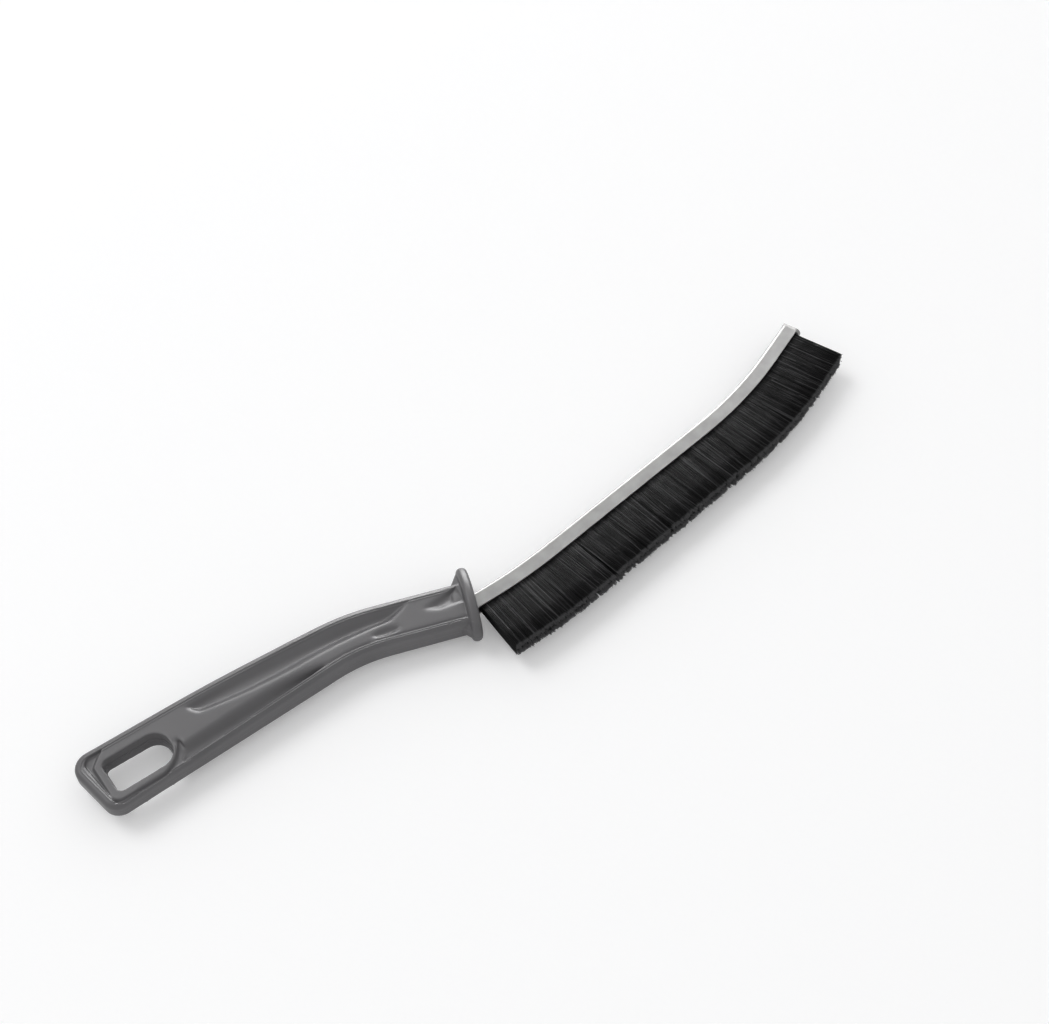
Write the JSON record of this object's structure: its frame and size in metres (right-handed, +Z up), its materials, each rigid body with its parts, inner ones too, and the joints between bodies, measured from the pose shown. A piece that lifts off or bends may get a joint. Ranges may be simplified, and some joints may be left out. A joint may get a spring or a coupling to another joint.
{
  "type": "crevice brush",
  "caption": "Slim hand brush for gaps and grooves: moulded plastic handle with a hang hole, oval collar and a long curved channel strip with dark filaments along one side.",
  "frame": {"origin": "centre of the base of the bounding box, with the brush lying on its side", "axes": "+X from the handle's tail to the strip's tip, -Y the way the filaments point, +Z up out of the mould's parting plane"},
  "size_m": [0.2392, 0.0441, 0.0124],
  "materials": {
    "handle": "satin mid-grey moulded plastic",
    "channel": "satin folded sheet steel",
    "core_wire": "drawn steel wire",
    "bristles": "near-black nylon filaments"
  },
  "bodies": {
    "root": {"handle": "handle", "channel": "channel", "core_wire": "core_wire", "bristles": "bristles"}
  },
  "joints": []
}
